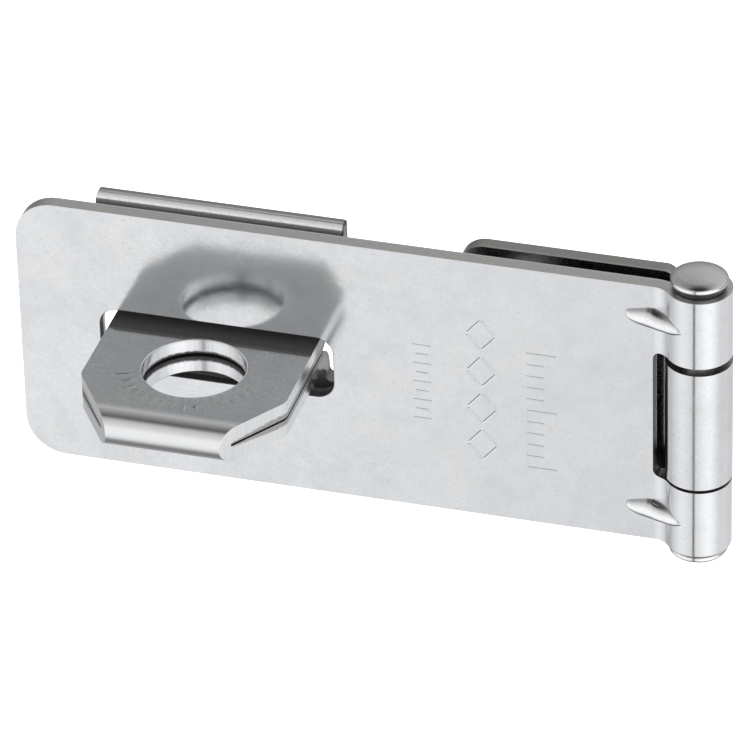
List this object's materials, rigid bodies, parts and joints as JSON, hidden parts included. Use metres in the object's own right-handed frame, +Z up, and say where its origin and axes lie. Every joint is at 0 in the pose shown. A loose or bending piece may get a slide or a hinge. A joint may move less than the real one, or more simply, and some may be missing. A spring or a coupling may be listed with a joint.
{
  "type": "hasp and staple",
  "caption": "Slotted sheet-steel hasp leaf hinged on a headed pin to a short fixed leaf, closing over a folded staple whose drilled lug takes a padlock.",
  "frame": {"origin": "on the hinge leaf's back, in the plane of the door or frame that the fixed pieces are screwed to, at half the height of the leaves and 21.5 mm from the pin axis", "axes": "+Z up along the hinge pin towards its domed head, +X from the staple towards the hinge, -Y out towards the front, +Y into the door or frame"},
  "size_m": [0.095, 0.0283, 0.0416],
  "materials": {
    "hinge_leaf_zinc": "semi-gloss zinc plating, matte grey sheared edges",
    "hasp_leaf_zinc": "semi-gloss zinc plating, matte grey sheared edges",
    "pin_steel": "plated steel with a bright head rim",
    "staple_hardened_steel": "darker hardened and plated steel with bright blanked edges"
  },
  "bodies": {
    "hinge_leaf": {"hinge_leaf": "hinge_leaf_zinc"},
    "hasp": {"hasp_leaf": "hasp_leaf_zinc", "hinge_pin": "pin_steel"},
    "staple": {"staple": "staple_hardened_steel"}
  },
  "joints": [
    {"name": "hasp_swing", "type": "hinge", "parent": "hinge_leaf", "child": "hasp", "pos_m": [0.0215, -0.00435, 0], "axis": [0, 0, 1], "range_deg": [0, 180]},
    {"name": "staple_release", "type": "slide", "parent": "hinge_leaf", "child": "staple", "axis": [0, 1, 0], "range_m": [0, 0.04]}
  ]
}
